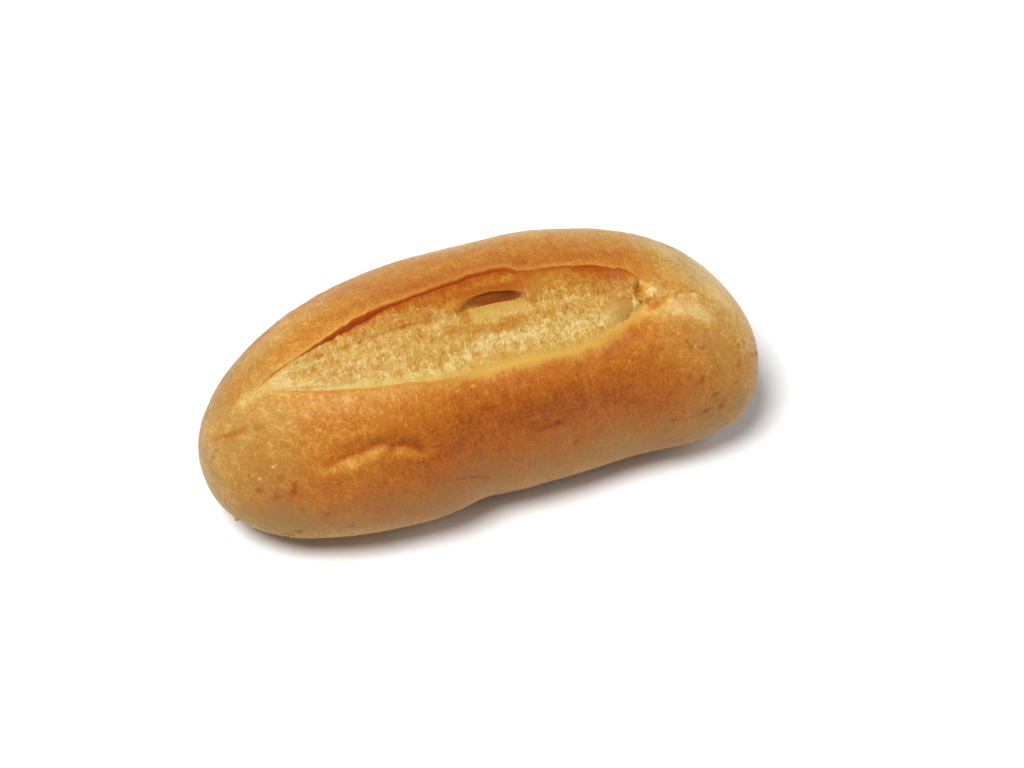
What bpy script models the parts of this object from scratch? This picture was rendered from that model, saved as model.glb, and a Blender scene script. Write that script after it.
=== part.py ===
"""A petit pain: a small baguette-style bread roll, baked flat on a tray and opened by one long score.

The roll lies along X, with its blunt end at +X. The score runs along its top: its plain edge faces
-Y (the front) and its raised crust lip stands on the +Y side (the back). The tray's plane is z = 0,
and the origin is under the middle of the roll's box.

The dough is lofted as rings across X. A point of a ring is told by its girth angle, which is 0 at the
top, positive down the front, negative down the back and half a turn at the bottom.
"""

import math

import bmesh
import bpy
import numpy as np

MM = 0.001
DEGREE = math.pi / 180

# The whole roll, before the front is drawn in
LENGTH = 140 * MM
WIDTH = 68 * MM
HEIGHT = 50 * MM
TIP_HEIGHT = 17 * MM  # of the two tips above the tray
WIDEST_SHARE = 0.387  # of the section's height, where it is widest
BOW = 6.5 * MM  # how far the middle bends to the back
SKEW = -2.6 * MM  # how far the blunt tip turns to the front, and the slim one to the back
BACK_TAPER = 0.165  # the back grows this much fuller towards the blunt end
FRONT_TAPER = -0.035
HEIGHT_TAPER = -0.03
TRAY_BITE = 1.2 * MM  # how much of the underside the tray presses flat

# Section and end shapes, as superellipse exponents: 2 is round, more is squarer
SLIM_END = 2.45
BLUNT_END = 3.3
END_ROUNDNESS = 2.1
FOOT_END = 5
FOOT_ROUNDNESS = 2.2
UNDERSIDE = 2.6

# The front flank: a long shallow hollow, and the nip between its two lobes
FLANK_HOLLOW = 5.7 * MM
FLANK_X = 29.5 * MM
FLANK_REACH = 30 * MM
NIP_DEPTH = 2.2 * MM
NIP_X = -5.8 * MM
NIP_REACH = 8 * MM

# The score: a leaf, long and pointed to the left, short and blunt to the right
SCORE_X = 5 * MM  # where it is widest
SCORE_HALF_WIDTH = 12.2 * MM
SCORE_LEFT = 58.5 * MM
SCORE_RIGHT = 35.5 * MM
SCORE_POINT = 0.87  # the smaller this power, the blunter that end of the leaf
SCORE_BLUNT = 0.42
SCORE_Y = -0.2 * MM
SCORE_SWERVE = 1.3 * MM  # to the back, where it is widest
SWERVE_REACH = 13 * MM
SCORE_TURN = 2.4 * MM  # to the back, at its pointed end
TURN_X = -56 * MM
TURN_REACH = 13 * MM
LEAST_HALF_WIDTH = 3 * MM  # of the ring's score points, past the ends of the leaf
CRUMB_DROP = 2.4 * MM  # of the torn crumb under the crust, at its deepest
LIP_RISE = 0.9 * MM
LIP_OVERHANG = 0.7 * MM
LIP_FADE = 6 * MM
SHOULDER_RISE = 1.0 * MM
SHOULDER_AWAY = 5 * MM
SHOULDER_REACH = 4 * MM

# The burst bubble in the crumb, an oval bowl
BOWL_X = 3.6 * MM
BOWL_Y = 3.4 * MM
BOWL_LENGTH = 17 * MM
BOWL_WIDTH = 10 * MM
BOWL_DEPTH = 4 * MM

# The wrinkle on the front of the slim end
WRINKLE_X = -36 * MM
WRINKLE_HALF_LENGTH = 17 * MM
WRINKLE_GIRTH = 52 * DEGREE
WRINKLE_CURL = 0.015 * DEGREE / MM**2
WRINKLE_WIDTH = 5 * DEGREE
WRINKLE_DEPTH = 1.1 * MM

# How finely the rings are cut
RINGS = 72
FRONT_STEPS = 20
CRUMB_STEPS = 12
BACK_STEPS = 24


def bell(distance, reach):
    """1 at no distance, falling smoothly to nothing past the reach."""
    return np.exp(-((distance / reach) ** 2))


def ring_places():
    """X of each ring, closer together towards the two tips, which are left out."""
    turn = np.linspace(0, math.pi, RINGS + 1)[1:-1]
    return -LENGTH / 2 * np.cos(turn)


def section_sizes(x):
    """Middle line, half widths to front and back, underside, widest height and top of each section."""
    share = x / (LENGTH / 2)
    end = np.where(share < 0, SLIM_END, BLUNT_END)
    fullness = (1 - np.abs(share) ** end) ** (1 / END_ROUNDNESS)
    foot = (1 - np.abs(share) ** FOOT_END) ** (1 / FOOT_ROUNDNESS)
    middle = BOW * (1 - share**2) + SKEW * share
    hollow = FLANK_HOLLOW * bell(x - FLANK_X, FLANK_REACH) + NIP_DEPTH * bell(x - NIP_X, NIP_REACH)
    front = fullness * (WIDTH / 2 * (1 + FRONT_TAPER * share) - hollow)
    back = fullness * WIDTH / 2 * (1 + BACK_TAPER * share)
    top = TIP_HEIGHT + (HEIGHT * (1 + HEIGHT_TAPER * share) - TIP_HEIGHT) * fullness
    bottom = TIP_HEIGHT - (TIP_HEIGHT + TRAY_BITE) * foot
    widest = bottom + WIDEST_SHARE * (top - bottom)
    return middle, front, back, bottom, widest, top


def score_half_width(x):
    """Half the width of the score, 0 past its ends."""
    along = x - SCORE_X
    left = np.clip(1 - (along / SCORE_LEFT) ** 2, 0, 1) ** SCORE_POINT
    right = np.clip(1 - (np.abs(along) / SCORE_RIGHT) ** 2.2, 0, 1) ** SCORE_BLUNT
    return SCORE_HALF_WIDTH * np.where(along < 0, left, right)


def score_middle(x):
    swerve = SCORE_SWERVE * bell(x - SCORE_X, SWERVE_REACH)
    return SCORE_Y + swerve + SCORE_TURN * bell(x - TURN_X, TURN_REACH)


def smooth_skin(x, girth):
    """Points and outward directions of the dough's even skin, without the score. All are arrays."""
    middle, front, back, bottom, widest, top = section_sizes(x)
    side = np.where(girth > 0, front, back)
    below = np.abs(girth) > math.pi / 2
    height = np.where(below, widest - bottom, top - widest)
    power = np.where(below, 2 / UNDERSIDE, 1)
    across = -np.sign(np.sin(girth)) * np.abs(np.sin(girth)) ** power
    up = np.sign(np.cos(girth)) * np.abs(np.cos(girth)) ** power
    points = np.stack([x + 0 * girth, middle + side * across, widest + height * up], axis=-1)
    outward = np.stack([0 * across, across / side, up / height], axis=-1)
    outward /= np.linalg.norm(outward, axis=-1, keepdims=True)
    return points, outward


def ring_half_width(x):
    """Half the width that each ring keeps for the score: it never closes up, so that no quad is pinched."""
    back = section_sizes(x)[2]
    return np.maximum(score_half_width(x), np.minimum(LEAST_HALF_WIDTH, 0.3 * back))


def openness(x):
    """How far the score has opened: 0 past its ends, and 1 along most of it."""
    share = np.clip(score_half_width(x) / (0.7 * SCORE_HALF_WIDTH), 0, 1)
    return share * share * (3 - 2 * share)


def score_girths(x):
    """Girth angles of the score's front and back edges."""
    middle, front, back = section_sizes(x)[:3]
    half = ring_half_width(x)
    edge_y = (score_middle(x) - half, score_middle(x) + half)
    return [
        np.arcsin(np.clip((middle - y) / np.where(y < middle, front, back), -0.7, 0.7)) for y in edge_y
    ]


def girth_grid(x):
    """The girth angle of every point of every ring, round from the bottom up the front and down the back."""
    front_edge, back_edge = score_girths(x)
    stretches = [
        (math.pi + 0 * x, front_edge, FRONT_STEPS),
        (front_edge, back_edge, CRUMB_STEPS),
        (back_edge, -math.pi + 0 * x, BACK_STEPS),
    ]
    columns = []
    for start, end, steps in stretches:
        shares = np.arange(steps) / steps
        columns.append(start[:, None] + (end - start)[:, None] * shares)
    return np.concatenate(columns, axis=1)


def crumb_drop(x, y):
    """How far the torn crumb lies under the even skin, with the burst bubble in it."""
    across = np.clip((y - score_middle(x)) / ring_half_width(x), -1, 1)
    dip = np.clip((1 + across) / 0.3, 0, 1)
    dip = dip * dip * (3 - 2 * dip)
    trough = CRUMB_DROP * openness(x) * dip * (1 - 0.3 * np.clip(across, 0, 1))
    oval = ((x - BOWL_X) / (BOWL_LENGTH / 2)) ** 2 + ((y - BOWL_Y) / (BOWL_WIDTH / 2)) ** 2
    return trough + BOWL_DEPTH * np.clip(1 - oval, 0, 1)


def crust_rise(x, y):
    """The crust's swelling beside the score: the rounded front shoulder and the back lip."""
    half = ring_half_width(x)
    front_edge = score_middle(x) - half
    back_edge = score_middle(x) + half
    shoulder = SHOULDER_RISE * bell(y - front_edge + SHOULDER_AWAY, SHOULDER_REACH)
    lip = LIP_RISE * np.exp(-np.clip(y - back_edge, 0, None) / LIP_FADE)
    return openness(x) * np.where(y < score_middle(x), shoulder, lip)


def wrinkle(x, girth):
    """The depth of the wrinkle on the front of the slim end."""
    line = WRINKLE_GIRTH + WRINKLE_CURL * (x - WRINKLE_X) ** 2
    fade = np.clip(1 - ((x - WRINKLE_X) / WRINKLE_HALF_LENGTH) ** 2, 0, 1)
    return WRINKLE_DEPTH * fade * bell(girth - line, WRINKLE_WIDTH)


def dough_rings():
    """Every ring's points, as an array of rings by points by 3."""
    x = ring_places()
    girth = girth_grid(x)
    columns = [x[:, None] + 0 * girth, girth]
    points, outward = smooth_skin(*columns)
    y = points[..., 1]
    first_crumb = FRONT_STEPS
    lip_foot = FRONT_STEPS + CRUMB_STEPS
    lift = crust_rise(columns[0], y) - wrinkle(columns[0], girth)
    lift[:, first_crumb:lip_foot] = -crumb_drop(columns[0], y)[:, first_crumb:lip_foot]

    # The lip is one more point in each ring: its foot stays down on the crumb, its edge leans over it.
    foot = points[:, lip_foot] - outward[:, lip_foot] * crumb_drop(x, y[:, lip_foot])[:, None]
    points += outward * lift[..., None]
    opened = openness(x)[:, None]
    points[:, lip_foot, 1:2] -= LIP_OVERHANG * opened
    foot[:, 1:2] += LIP_OVERHANG * opened
    before = (points[:, lip_foot - 1] + points[:, lip_foot]) / 2
    return np.insert(points, lip_foot, before + (foot - before) * opened, axis=1)


def tip(side):
    """The point at one end, where the rings close: side is -1 for the slim end and 1 for the blunt one."""
    return (side * LENGTH / 2, SKEW * side, TIP_HEIGHT)


def loft(mesh, rings):
    """Skins neighbouring rings with quads, and closes both ends with a fan."""
    loops = [[mesh.verts.new(point) for point in ring] for ring in rings]
    count = len(loops[0])
    for near, far in zip(loops, loops[1:]):
        for k in range(count):
            mesh.faces.new((near[k], near[(k + 1) % count], far[(k + 1) % count], far[k]))
    for loop, side in ((loops[0], -1), (loops[-1], 1)):
        end = mesh.verts.new(tip(side))
        for k in range(count):
            mesh.faces.new((loop[k], loop[(k + 1) % count], end))
    bmesh.ops.recalc_face_normals(mesh, faces=mesh.faces)


def press_on_tray(mesh):
    """Cuts the underside off at the tray's plane, and closes it with one flat face."""
    parts = mesh.verts[:] + mesh.edges[:] + mesh.faces[:]
    cut = bmesh.ops.bisect_plane(
        mesh, geom=parts, plane_co=(0, 0, 0), plane_no=(0, 0, -1), clear_outer=True
    )
    rim = [item for item in cut["geom_cut"] if isinstance(item, bmesh.types.BMEdge)]
    bmesh.ops.contextual_create(mesh, geom=rim)
    bmesh.ops.remove_doubles(mesh, verts=mesh.verts, dist=0.05 * MM)
    bmesh.ops.recalc_face_normals(mesh, faces=mesh.faces)


def centre_over_origin(mesh):
    """Moves the mesh sideways, so that the origin is under the middle of its box."""
    places = np.array([vert.co for vert in mesh.verts])
    middle = (places.min(axis=0) + places.max(axis=0)) / 2
    bmesh.ops.translate(mesh, verts=mesh.verts, vec=(-middle[0], -middle[1], 0))


def crust_material():
    material = bpy.data.materials.new("baked_crust")
    material.use_nodes = True
    shader = material.node_tree.nodes["Principled BSDF"]
    shader.inputs["Base Color"].default_value = (0.53, 0.24, 0.06, 1)
    shader.inputs["Roughness"].default_value = 0.5
    shader.inputs["Metallic"].default_value = 0
    return material


def bread_roll():
    mesh = bmesh.new()
    loft(mesh, dough_rings())
    press_on_tray(mesh)
    centre_over_origin(mesh)
    data = bpy.data.meshes.new("bread_roll")
    mesh.to_mesh(data)
    mesh.free()
    data.shade_smooth()
    data.set_sharp_from_angle(angle=40 * DEGREE)
    data.materials.append(crust_material())
    roll = bpy.data.objects.new("bread_roll", data)
    bpy.context.scene.collection.objects.link(roll)
    return roll


def main():
    for old in list(bpy.data.objects):
        bpy.data.objects.remove(old)
    bread_roll()


main()
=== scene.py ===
"""How the petit pain looks: its baked crust, the torn crumb in its score, and what clings to them.

The roll lies along X with its blunt end at +X. The plain edge of its score faces -Y (the front), and
the raised crust lip stands on the +Y side (the back).

Shapes are laid out in millimetres in the dough's own frame, for a roll of 140 mm. Its Y is measured
from the line between the two tips. Loft scales them and moves them onto the part's origin. A point of
the skin is told by its x and its girth angle, which is 0 at the top, positive down the front, negative
down the back and half a turn below. Lamps, camera and what grows on the surfaces are in metres.
"""

import itertools
import math

import bpy
import numpy as np
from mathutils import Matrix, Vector


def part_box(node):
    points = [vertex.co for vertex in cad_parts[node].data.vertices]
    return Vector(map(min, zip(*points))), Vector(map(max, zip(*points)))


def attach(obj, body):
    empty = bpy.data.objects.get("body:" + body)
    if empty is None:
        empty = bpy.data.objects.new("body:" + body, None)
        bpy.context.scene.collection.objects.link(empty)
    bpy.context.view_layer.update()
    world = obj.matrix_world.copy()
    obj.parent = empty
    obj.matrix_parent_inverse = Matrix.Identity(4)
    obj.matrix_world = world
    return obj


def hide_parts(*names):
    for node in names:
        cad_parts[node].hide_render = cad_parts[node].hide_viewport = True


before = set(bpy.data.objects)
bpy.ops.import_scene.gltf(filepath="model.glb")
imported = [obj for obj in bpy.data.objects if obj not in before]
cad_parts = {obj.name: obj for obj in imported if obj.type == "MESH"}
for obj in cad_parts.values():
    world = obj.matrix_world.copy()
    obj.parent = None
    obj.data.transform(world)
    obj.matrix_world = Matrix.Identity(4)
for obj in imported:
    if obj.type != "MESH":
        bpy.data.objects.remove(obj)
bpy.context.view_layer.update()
LOW, HIGH = (np.array(corner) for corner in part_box("bread_roll"))
LENGTH = 140
MM = (HIGH[0] - LOW[0]) / LENGTH  # a millimetre of the dough, in metres of the part
DEGREE = math.pi / 180
BODY = "root"

# The whole roll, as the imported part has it
WIDTH = 68
HEIGHT = 50
TIP_HEIGHT = 17
WIDEST_SHARE = 0.387
BOW = 6.5
SKEW = -2.6
BACK_TAPER = 0.165
FRONT_TAPER = -0.035
HEIGHT_TAPER = -0.03
TRAY_BITE = 1.2
SLIM_END = 2.45
BLUNT_END = 3.3
END_ROUNDNESS = 2.1
FOOT_END = 5
FOOT_ROUNDNESS = 2.2
UNDERSIDE = 2.6
FLANK_HOLLOW = 5.7
FLANK_X = 29.5
FLANK_REACH = 30
NIP_DEPTH = 2.2
NIP_X = -5.8
NIP_REACH = 8

# The score
SCORE_X = 5
SCORE_HALF_WIDTH = 12.2
SCORE_LEFT = 58.5
SCORE_RIGHT = 35.5
SCORE_POINT = 0.87
SCORE_BLUNT = 0.42
SCORE_Y = -0.2
SCORE_SWERVE = 1.3
SWERVE_REACH = 13
SCORE_TURN = 2.4
TURN_X = -56
TURN_REACH = 13
LEAST_HALF_WIDTH = 0.5
OPEN_AT = 5.5  # the half width at which the score has its full depth
CRUMB_DROP = 2.4
LEAST_FOOT_DROP = 0.45  # of the crumb at the foot of the lip, where the lip has no height
FOOT_DROP = 1.2  # more of it, where the lip is 1 mm high
TROUGH_DEPTH = 6.5  # of the crust under the crumb, out of sight
PAD_DEPTH = 5.8

# The lip, which the score's back edge turns over
LIP_RISE = [
    (-54, 0), (-48, 0.15), (-41, 0.4), (-34, 1), (-26, 1.3), (-20, 0.8), (-12, 0.6), (0, 0.75), (9, 0.7),
    (14, 0.35), (24, 0.3), (31, 0.45), (35, 0.15), (41, 0),
]  # x and height, in mm
LIP_FADE = 6
LIP_NOSE = 0.5
LIP_TUCK = 0.6
LIP_WAVE = 0.35
LIP_SPREAD = 1.2  # of the lip's columns where the score is shut
LIP_JOG = 1.7  # where two tears of the lip meet
JOG_X = 11.6

# The front edge: crisp on the left, rounded over into the crumb on the right
SOFT_FROM = -14
SOFT_RUN = 14
CRISP_DIP = 0.25
CRISP_REACH = 0.6
SOFT_DIP = 1.4
SOFT_REACH = 2.8
SHOULDER_RISE = 1
SHOULDER_AWAY = 5
SHOULDER_REACH = 4

# How finely the meshes are cut
CRUST_RINGS = 368
UNDER_STEPS = 20  # on each side of the bottom line
FRONT_STEPS = 112
TROUGH_STEPS = 10
LIP_STEPS = 12
BACK_STEPS = 90
UNDER_GIRTH = 112 * DEGREE  # the flank ends here, and the underside begins
EDGE_STEPS = 420  # places along the score's edges that ways are measured to
CRUMB_RINGS = 548
CRUMB_ROWS = 168
CRUMB_FLOOR_ROWS = 5
CRUMB_FROM = -54.3  # x of the pad's first ring, and of its last
CRUMB_TO = 40.3


def bell(distance, reach):
    """1 at no distance, falling smoothly to nothing past the reach."""
    return np.exp(-((distance / reach) ** 2))


def ease(share):
    """Rises smoothly from 0 to 1 as share does."""
    share = np.clip(share, 0, 1)
    return share * share * (3 - 2 * share)


def smooth_curve(at, knots, values):
    """A Catmull-Rom curve through values at knots."""
    knots, values = np.array(knots), np.array(values)
    slopes = np.gradient(values, knots)
    k = np.clip(np.searchsorted(knots, at, side="right") - 1, 0, len(knots) - 2)
    span = knots[k + 1] - knots[k]
    t = (at - knots[k]) / span
    return (
        values[k] * (1 + 2 * t) * (1 - t) ** 2
        + slopes[k] * span * t * (1 - t) ** 2
        + values[k + 1] * t * t * (3 - 2 * t)
        + slopes[k + 1] * span * t * t * (t - 1)
    )


# ------------------------ unevenness

SLOPES = np.random.default_rng(4).normal(size=(256, 3))
SLOPES /= np.linalg.norm(SLOPES, axis=1, keepdims=True)


def scramble(cells, seed):
    """A number from 0 to 255 for each whole-numbered cell."""
    key = cells @ np.array([73856093, 19349663, 83492791]) + seed * 668265263
    key = ((key ^ (key >> 15)) * 2246822519) & 0xFFFFFFFF
    key = ((key ^ (key >> 13)) * 3266489917) & 0xFFFFFFFF
    return (key ^ (key >> 16)) & 255


def waves(places, size, seed):
    """Smooth unevenness from about -1 to 1. Its bumps are about one size across, or one for each axis."""
    cells = places / np.asarray(size)
    base = np.floor(cells).astype(np.int64)
    inside = cells - base
    fade = inside**3 * (inside * (inside * 6 - 15) + 10)
    total = np.zeros(places.shape[:-1])
    for corner in itertools.product((0, 1), repeat=3):
        weight = np.prod(np.where(corner, fade, 1 - fade), axis=-1)
        slope = SLOPES[scramble(base + np.array(corner), seed)]
        total += weight * np.sum(slope * (inside - corner), axis=-1)
    return total * 1.7


def rough(places, size, seed, octaves=3):
    """Waves with ever finer waves on them."""
    size = np.asarray(size, dtype=float)
    return sum(waves(places, size / 2**k, seed + k) / 2**k for k in range(octaves))


def web(places, size, seed):
    """Distances to the nearest of scattered points, seen from above, in cells."""
    cells = places[..., :2] / np.asarray(size)
    base = np.floor(cells).astype(np.int64)
    near = np.full(places.shape[:-1], 9.0)
    for corner in itertools.product((-1, 0, 1), repeat=2):
        cell = base + np.array(corner)
        whole = np.concatenate([cell, np.zeros_like(cell[..., :1])], axis=-1)
        spot = cell + 0.5 + 0.5 * SLOPES[scramble(whole, seed)][..., :2]
        near = np.minimum(near, np.linalg.norm(spot - cells, axis=-1))
    return near


# ------------------------ the dough's form


def section_sizes(x):
    """Middle line, half widths to front and back, underside, widest height and top of each section."""
    share = x / (LENGTH / 2)
    end = np.where(share < 0, SLIM_END, BLUNT_END)
    fullness = (1 - np.abs(share) ** end) ** (1 / END_ROUNDNESS)
    foot = (1 - np.abs(share) ** FOOT_END) ** (1 / FOOT_ROUNDNESS)
    middle = BOW * (1 - share**2) + SKEW * share
    hollow = FLANK_HOLLOW * bell(x - FLANK_X, FLANK_REACH) + NIP_DEPTH * bell(x - NIP_X, NIP_REACH)
    front = fullness * (WIDTH / 2 * (1 + FRONT_TAPER * share) - hollow)
    back = fullness * WIDTH / 2 * (1 + BACK_TAPER * share)
    top = TIP_HEIGHT + (HEIGHT * (1 + HEIGHT_TAPER * share) - TIP_HEIGHT) * fullness
    bottom = TIP_HEIGHT - (TIP_HEIGHT + TRAY_BITE) * foot
    widest = bottom + WIDEST_SHARE * (top - bottom)
    return middle, front, back, bottom, widest, top


def smooth_skin(x, girth):
    """Points and outward directions of the dough's even skin, without the score."""
    middle, front, back, bottom, widest, top = section_sizes(x)
    side = np.where(girth > 0, front, back)
    below = np.abs(girth) > math.pi / 2
    height = np.where(below, widest - bottom, top - widest)
    power = np.where(below, 2 / UNDERSIDE, 1)
    across = -np.sign(np.sin(girth)) * np.abs(np.sin(girth)) ** power
    up = np.sign(np.cos(girth)) * np.abs(np.cos(girth)) ** power
    points = np.stack([x + 0 * girth, middle + side * across, widest + height * up], axis=-1)
    outward = np.stack([0 * across, across / side, up / height], axis=-1)
    return points, outward / np.linalg.norm(outward, axis=-1, keepdims=True)


def dough_middle():
    """Y of the middle of the smooth roll's box, which is over the part's origin."""
    x = np.linspace(-0.499, 0.499, 300)[:, None] * LENGTH
    girth = np.linspace(-math.pi, math.pi, 361)[None, :]
    points = smooth_skin(x + 0 * girth, girth + 0 * x)[0]
    y = points[..., 1][points[..., 2] >= 0]
    return (y.min() + y.max()) / 2


TO_PART = np.array([0, -dough_middle(), 0])


def score_half_width(x):
    """Half the score's width: pointed at the slim end, blunt at the other."""
    along = x - SCORE_X
    left = np.clip(1 - (along / SCORE_LEFT) ** 2, 0, 1) ** SCORE_POINT
    right = np.clip(1 - (np.abs(along) / SCORE_RIGHT) ** 2.2, 0, 1) ** SCORE_BLUNT
    return np.maximum(SCORE_HALF_WIDTH * np.where(along < 0, left, right), LEAST_HALF_WIDTH)


def score_middle(x):
    """Y of the score's middle line."""
    swerve = SCORE_SWERVE * bell(x - SCORE_X, SWERVE_REACH)
    return SCORE_Y + swerve + SCORE_TURN * bell(x - TURN_X, TURN_REACH)


def openness(x):
    """How far the score has opened: 0 past its ends, and 1 along most of it."""
    return ease((score_half_width(x) - LEAST_HALF_WIDTH) / OPEN_AT)


def along_line(x):
    """Places along X alone, to make waves on."""
    return np.stack([x, 0 * x, 0 * x], axis=-1)


def score_edges(x):
    """Y of the score's front and back edges, uneven as the dough tore."""
    half = score_half_width(x)
    torn = LIP_WAVE * (rough(along_line(x), 6, 11) + 0.5 * rough(along_line(x), 1.4, 17, 2))
    jog = LIP_JOG * (0.3 - ease((x - JOG_X) / 2 + 0.5)) * bell(x - JOG_X, 14)
    front_wave = 0.25 * rough(along_line(x), 9, 15, 2)
    opened = openness(x)
    return score_middle(x) - half + front_wave * opened, score_middle(x) + half + (torn + jog) * opened


def girth_at(x, y):
    """The girth angle, near the top, of the skin at a sideways place."""
    middle, front, back = section_sizes(x)[:3]
    return np.arcsin(np.clip((middle - y) / np.where(y < middle, front, back), -0.8, 0.8))


def spot(x, y, at_x, at_y, reach):
    """1 at a place seen from above, falling to nothing past the reach."""
    return bell(np.hypot(x - at_x, y - at_y), reach)


def beside_score(x, y):
    """Ways to the score's front edge and back edge, 0 inside the score, each with its nearest spot's x."""
    line = ring_places(CRUMB_FROM, CRUMB_TO + 0.1, EDGE_STEPS)
    front_edge, back_edge = score_edges(x)
    found = []
    for edge, past in zip(score_edges(line), (y > front_edge, y < back_edge)):
        rows = []
        for row_x, row_y in zip(x, y):
            away = np.hypot(row_x[:, None] - line, row_y[:, None] - edge)
            nearest = away.argmin(axis=1)
            rows.append((away[np.arange(len(row_x)), nearest], line[nearest]))
        ways, places = (np.array(column) for column in zip(*rows))
        found += [np.where(past & (openness(x) >= 0.02), 0, ways), places]
    return found


def softness(x):
    """0 where the score's front edge is crisp, 1 where it is rounded over."""
    return ease((x - SOFT_FROM) / SOFT_RUN)


def lip_rise(x):
    """How high the lip stands over the even skin."""
    knots, heights = (np.array(column) for column in zip(*LIP_RISE))
    return smooth_curve(np.clip(x, knots[0], knots[-1]), knots, heights)


def front_dip(x):
    """How far the crust has come down at the score's front edge."""
    return (CRISP_DIP + (SOFT_DIP - CRISP_DIP) * softness(x)) * openness(x)


# ------------------------ marks on the crust

# Creases run along the roll: (x, girth) points in mm and degrees, from the slim end on
WRINKLE = [
    (-48, 56), (-46.1, 55), (-43.4, 55.3), (-40.5, 54.7), (-37.6, 53.8), (-35.3, 53.3), (-32.8, 52.1),
    (-30, 52.5), (-27.3, 53.9), (-24.6, 55.7), (-22, 58), (-17, 60.5),
]
UNDER_WRINKLE = [(-29, 61.5), (-24, 63), (-18, 64.5), (-13, 66)]
LOW_WRINKLE = [(-18, 78), (-14, 79.5), (-9, 84), (-5, 89.5), (-1, 94)]
SLIM_CREASE = [
    (-69, 14), (-67, 14), (-65.5, 16), (-63.9, 19.4), (-61.7, 22.8), (-59.3, 24.2), (-56.3, 27.2),
    (-53, 28.5),
]
SLIM_CRACK = [(-68.6, 38), (-67.4, 34.6), (-65.7, 25.7), (-64.8, 23)]
TIP_HOOK = [(-56.5, 9.5), (-54.6, 7.4), (-53, 4.9), (-51.9, 2.9), (-50.6, 2.2), (-48, 1.6)]
TIP_VALLEY = [
    (-61.5, 8), (-58, 6.1), (-55.7, 6.6), (-54.2, 6.7), (-53.1, 6.6), (-51, 6.6), (-48, 7.5), (-44, 9),
]
TAIL_CREASE = [(40.5, 15.5), (43, 14.5), (47, 11.6), (50, 8.7), (52.4, 6.9), (56, 4.7)]
TAIL_VALLEY = [
    (35, 22), (39, 20.1), (42.3, 18.7), (45.1, 18.3), (47.8, 18.8), (51.3, 20.5), (54, 22), (58, 23),
]
# Pits: x, girth, half length along the roll, half width, depth (mm, degrees, mm, mm, mm)
PITS = [
    (-51.3, 67.7, 0.9, 0.9, 0.9), (-51, 63, 0.6, 1, 0.5), (-55.2, 69.7, 1, 0.7, 0.5),
    (-58.9, 65.2, 1, 0.6, 0.6), (-50, 78.8, 0.5, 0.5, 0.3), (-44.8, 82.2, 0.9, 0.4, 0.4),
    (-51.4, 97.5, 1.7, 0.7, 0.7), (-40, 92.8, 0.9, 0.5, 0.4), (47, 38.6, 0.4, 0.6, 0.5),
    (47.7, 41.4, 0.5, 0.8, 0.5), (51.1, 41.7, 0.9, 0.5, 0.35), (61, 41.4, 0.6, 0.5, 0.45),
    (62.9, 39.3, 0.7, 0.5, 0.45), (64.9, 51.5, 0.5, 0.6, 0.45), (66.9, 52.5, 0.5, 0.6, 0.4),
    (59.8, 55.3, 0.6, 0.5, 0.45), (46.1, 57.1, 0.6, 0.5, 0.4), (53.3, 58, 0.6, 0.6, 0.4),
    (49.4, 59.7, 0.6, 1.1, 0.7), (48.4, 61.4, 0.7, 0.4, 0.4), (52.3, 70.4, 0.7, 0.7, 0.55),
    (58.5, 66, 0.5, 0.5, 0.35), (54, 80.4, 1, 0.8, 0.65), (49.5, 80.5, 1.6, 0.6, 0.65),
    (41.6, 81.8, 1.1, 0.6, 0.5), (12, 66.8, 1.1, 0.7, 0.5), (16.1, 80.8, 0.9, 0.6, 0.35),
    (8.9, 66.6, 1.2, 0.35, 0.3), (-31, 70, 0.5, 0.4, 0.3),
]
# Lumps the tear left: x, girth, half length, half width, rise, browning (mm, degrees, mm, mm, mm)
LUMPS = [
    (41.9, 9.3, 1.2, 2, 0.9, -0.36), (43.6, 8, 0.7, 1, 0.4, -0.2), (40.3, 3.6, 0.8, 0.6, 0.4, -0.3),
    (49.6, 10.6, 1, 0.8, 0.5, -0.34), (52.6, 9.6, 0.8, 0.7, 0.45, -0.3), (46.2, 14, 0.8, 0.8, 0.3, -0.2),
    (40.6, 18.6, 1.3, 0.7, 0.5, 0.3), (42.6, 16.6, 1.3, 0.7, 0.5, 0.4), (34, 31.5, 2.6, 1.6, 0.5, 0.12),
]
CRATER = (40.9, 15, 1.2, 0.8, 0.6)
STRAY_PITS = 110

# Where loose bits cling: x, girth and reach (mm, degrees, mm)
DUSTY = [
    (-54.8, 50.3, 0.7), (-54.1, 49.6, 0.5), (-59.6, 53.2, 0.6), (-58.3, 56.8, 0.6), (-63.6, 58.6, 0.5),
    (-64.9, 78.6, 0.5), (-65.1, 46.7, 0.4), (46.3, -8, 0.7), (46.2, -5, 0.6), (14.5, -20, 0.6),
]
TORN_BITS = [(42.6, 8.4, 1.1), (42.4, 12, 0.8)]
CLINGING = [(-65.6, 104, 1.1), (-55.5, 108, 1), (60, 106, 1)]


def spots(points, places):
    """1 in the middle of each place, falling to nothing past its reach."""
    near = np.zeros(points.shape[:-1])
    for x, girth, reach in places:
        away = np.linalg.norm(points - surface_points(x, girth)[0], axis=-1)
        near = np.maximum(near, bell(away, reach))
    return near


def surface_points(x, girth):
    """Points of the skin at places given in mm and degrees."""
    x = np.atleast_1d(x)
    return smooth_skin(x, np.atleast_1d(girth) * DEGREE)[0]


def pit_distance(points, pit):
    """1 on the pit's outline and 0 in its middle."""
    x, girth, half_length, half_width = pit[:4]
    away = points - surface_points(x, girth)[0]
    along = away[..., 0] / (half_length)
    across = np.linalg.norm(away[..., 1:], axis=-1) / (half_width)
    return np.hypot(along, across)


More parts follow.
